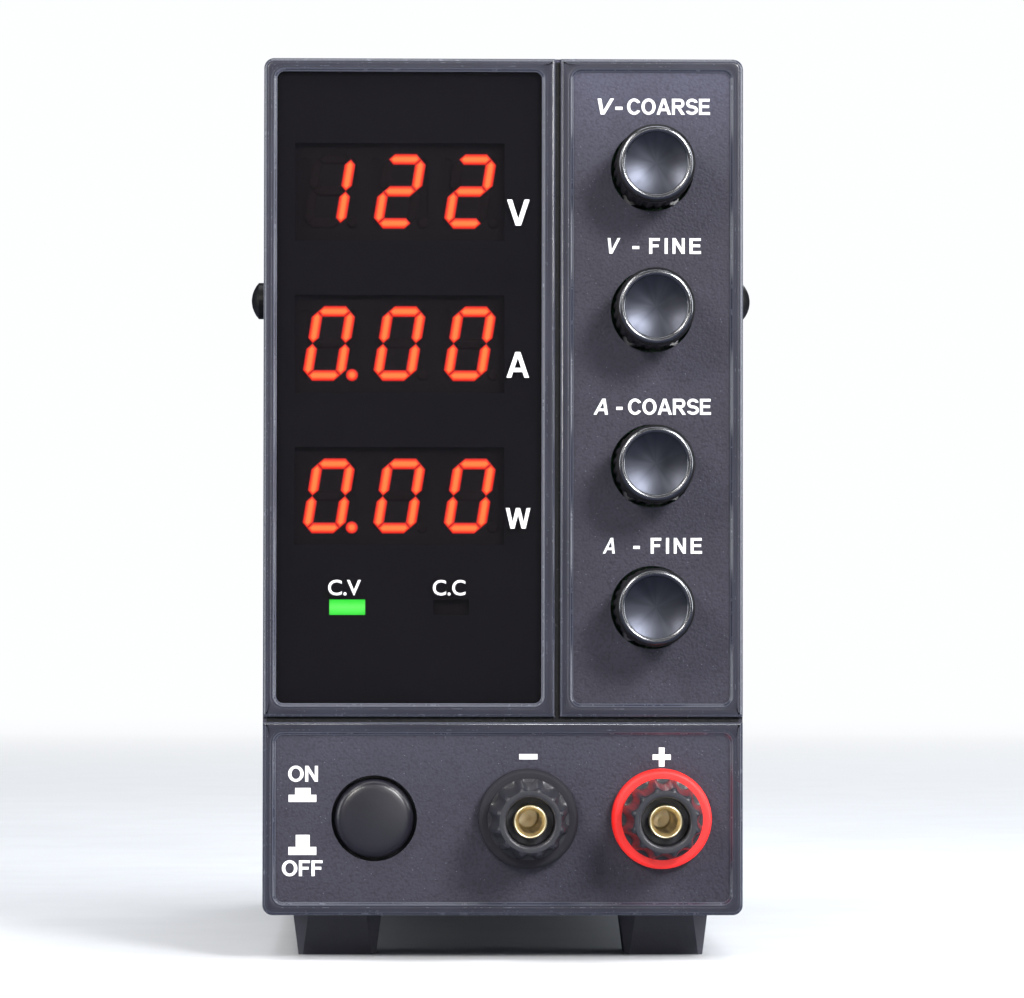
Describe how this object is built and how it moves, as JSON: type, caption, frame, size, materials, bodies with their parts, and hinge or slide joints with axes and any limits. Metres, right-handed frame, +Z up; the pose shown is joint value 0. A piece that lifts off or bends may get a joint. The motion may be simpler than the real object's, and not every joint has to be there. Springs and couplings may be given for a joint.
{
  "type": "bench power supply",
  "caption": "Narrow upright bench power supply with lit digit displays, dished knobs, a power button, red and black binding posts and a vented case.",
  "frame": {"origin": "centre of the bounding box's footprint, on the surface the feet stand on", "axes": "the front panel faces -Y, +Z is up, +X is to the right of someone facing the front"},
  "size_m": [0.0894, 0.2196, 0.158],
  "materials": {
    "panel_plastic": "fine grained moulding with satin rims",
    "smoked_window": "polished smoked acrylic",
    "green_board": "solder mask",
    "display_black": "matt black",
    "green_led": "lit",
    "dark_led": "unlit",
    "knob_black": "ribbed side, polished dish",
    "nickel": "nickel plated",
    "pot_case": "stamped",
    "button_black": "satin",
    "white_plastic": "moulded",
    "black_plastic": "moulded",
    "red_plastic": "glossy",
    "cap_black": "moulded grips",
    "brass": "turned",
    "sheet_steel": "zinc plated",
    "cover_paint": "fine textured powder coat",
    "black_steel": "black oxide",
    "screw_steel": "zinc plated",
    "ferrite": "matt ferrite",
    "winding": "taped enamelled wire",
    "capacitor_sleeve": "printed sleeve over a filled can",
    "extruded_aluminium": "extruded",
    "lead_red": "insulated wire",
    "lead_grey": "flat cable",
    "rubber_black": "moulded",
    "glass_fuse": "glass tube with metal ends"
  },
  "bodies": {
    "case": {"front_panel": "panel_plastic", "display_window": "smoked_window", "control_board": "green_board", "voltage_display": "display_black", "current_display": "display_black", "power_display": "display_black", "constant_voltage_led": "green_led", "constant_current_led": "dark_led", "potentiometers": "pot_case", "control_board_screws": "screw_steel", "power_switch": "black_plastic", "positive_base": "red_plastic", "negative_base": "cap_black", "positive_socket": "brass", "negative_socket": "brass", "post_insulators": "black_plastic", "post_nuts": "brass", "front_bulkhead": "sheet_steel", "bulkhead_screws": "screw_steel", "chassis_tray": "sheet_steel", "rear_panel": "sheet_steel", "cover": "cover_paint", "cover_screws": "black_steel", "fan_frame": "black_plastic", "fan_screws": "screw_steel", "power_inlet": "black_plastic", "inlet_pins": "nickel", "inlet_screws": "screw_steel", "voltage_selector": "black_plastic", "main_board": "green_board", "board_standoffs": "brass", "transformer_core": "ferrite", "transformer_winding": "winding", "bulk_capacitors": "capacitor_sleeve", "output_capacitors": "capacitor_sleeve", "heat_sinks": "extruded_aluminium", "power_transistors": "black_plastic", "output_choke": "winding", "wiring": "lead_red", "ribbon_cable": "lead_grey", "feet": "rubber_black", "foot_screws": "screw_steel"},
    "power_button": {"power_button": "button_black", "switch_plunger": "white_plastic"},
    "fan_rotor": {"fan_rotor": "black_plastic"},
    "fuse_drawer": {"fuse_drawer": "black_plastic", "fuse": "glass_fuse"},
    "selector_slider": {"selector_slider": "red_plastic"},
    "voltage_coarse_knob": {"voltage_coarse_knob": "knob_black", "voltage_coarse_shaft": "nickel"},
    "voltage_fine_knob": {"voltage_fine_knob": "knob_black", "voltage_fine_shaft": "nickel"},
    "current_coarse_knob": {"current_coarse_knob": "knob_black", "current_coarse_shaft": "nickel"},
    "current_fine_knob": {"current_fine_knob": "knob_black", "current_fine_shaft": "nickel"},
    "negative_clamp_ring": {"negative_clamp_ring": "nickel"},
    "negative_cap": {"negative_cap": "cap_black"},
    "positive_clamp_ring": {"positive_clamp_ring": "nickel"},
    "positive_cap": {"positive_cap": "cap_black"}
  },
  "joints": [
    {"name": "voltage_coarse_turn", "type": "hinge", "parent": "case", "child": "voltage_coarse_knob", "pos_m": [0.0261, -0.09285, 0.1386], "axis": [0, 1, 0], "range_deg": [-285, 15]},
    {"name": "voltage_fine_turn", "type": "hinge", "parent": "case", "child": "voltage_fine_knob", "pos_m": [0.0261, -0.09285, 0.1138], "axis": [0, 1, 0], "range_deg": [-150, 150]},
    {"name": "current_coarse_turn", "type": "hinge", "parent": "case", "child": "current_coarse_knob", "pos_m": [0.0261, -0.09285, 0.0866], "axis": [0, 1, 0], "range_deg": [-150, 150]},
    {"name": "current_fine_turn", "type": "hinge", "parent": "case", "child": "current_fine_knob", "pos_m": [0.0261, -0.09285, 0.0618], "axis": [0, 1, 0], "range_deg": [-150, 150]},
    {"name": "power_button_press", "type": "slide", "parent": "case", "child": "power_button", "axis": [0, -1, 0], "range_m": [-0.0006, 0.004]},
    {"name": "fan_spin", "type": "hinge", "parent": "case", "child": "fan_rotor", "pos_m": [0, 0.09765, 0.112], "axis": [0, 1, 0], "continuous": true},
    {"name": "fuse_drawer_slide", "type": "slide", "parent": "case", "child": "fuse_drawer", "axis": [0, 1, 0], "range_m": [0, 0.018]},
    {"name": "voltage_selector_slide", "type": "slide", "parent": "case", "child": "selector_slider", "axis": [0, 0, 1], "range_m": [0, 0.005]},
    {"name": "negative_clamp_slide", "type": "slide", "parent": "case", "child": "negative_clamp_ring", "axis": [0, -1, 0], "range_m": [0, 0.004]},
    {"name": "negative_cap_turn", "type": "hinge", "parent": "negative_clamp_ring", "child": "negative_cap", "pos_m": [0.0044, -0.10285, 0.0249], "axis": [0, -1, 0], "range_deg": [0, 1440]},
    {"name": "positive_clamp_slide", "type": "slide", "parent": "case", "child": "positive_clamp_ring", "axis": [0, -1, 0], "range_m": [0, 0.004]},
    {"name": "positive_cap_turn", "type": "hinge", "parent": "positive_clamp_ring", "child": "positive_cap", "pos_m": [0.0277, -0.10285, 0.0249], "axis": [0, -1, 0], "range_deg": [0, 1440]}
  ],
  "couplings": [
    {"joint": "negative_cap_turn", "follows": "negative_clamp_slide", "rad_per_m": 6283.2},
    {"joint": "positive_cap_turn", "follows": "positive_clamp_slide", "rad_per_m": 6283.2}
  ]
}
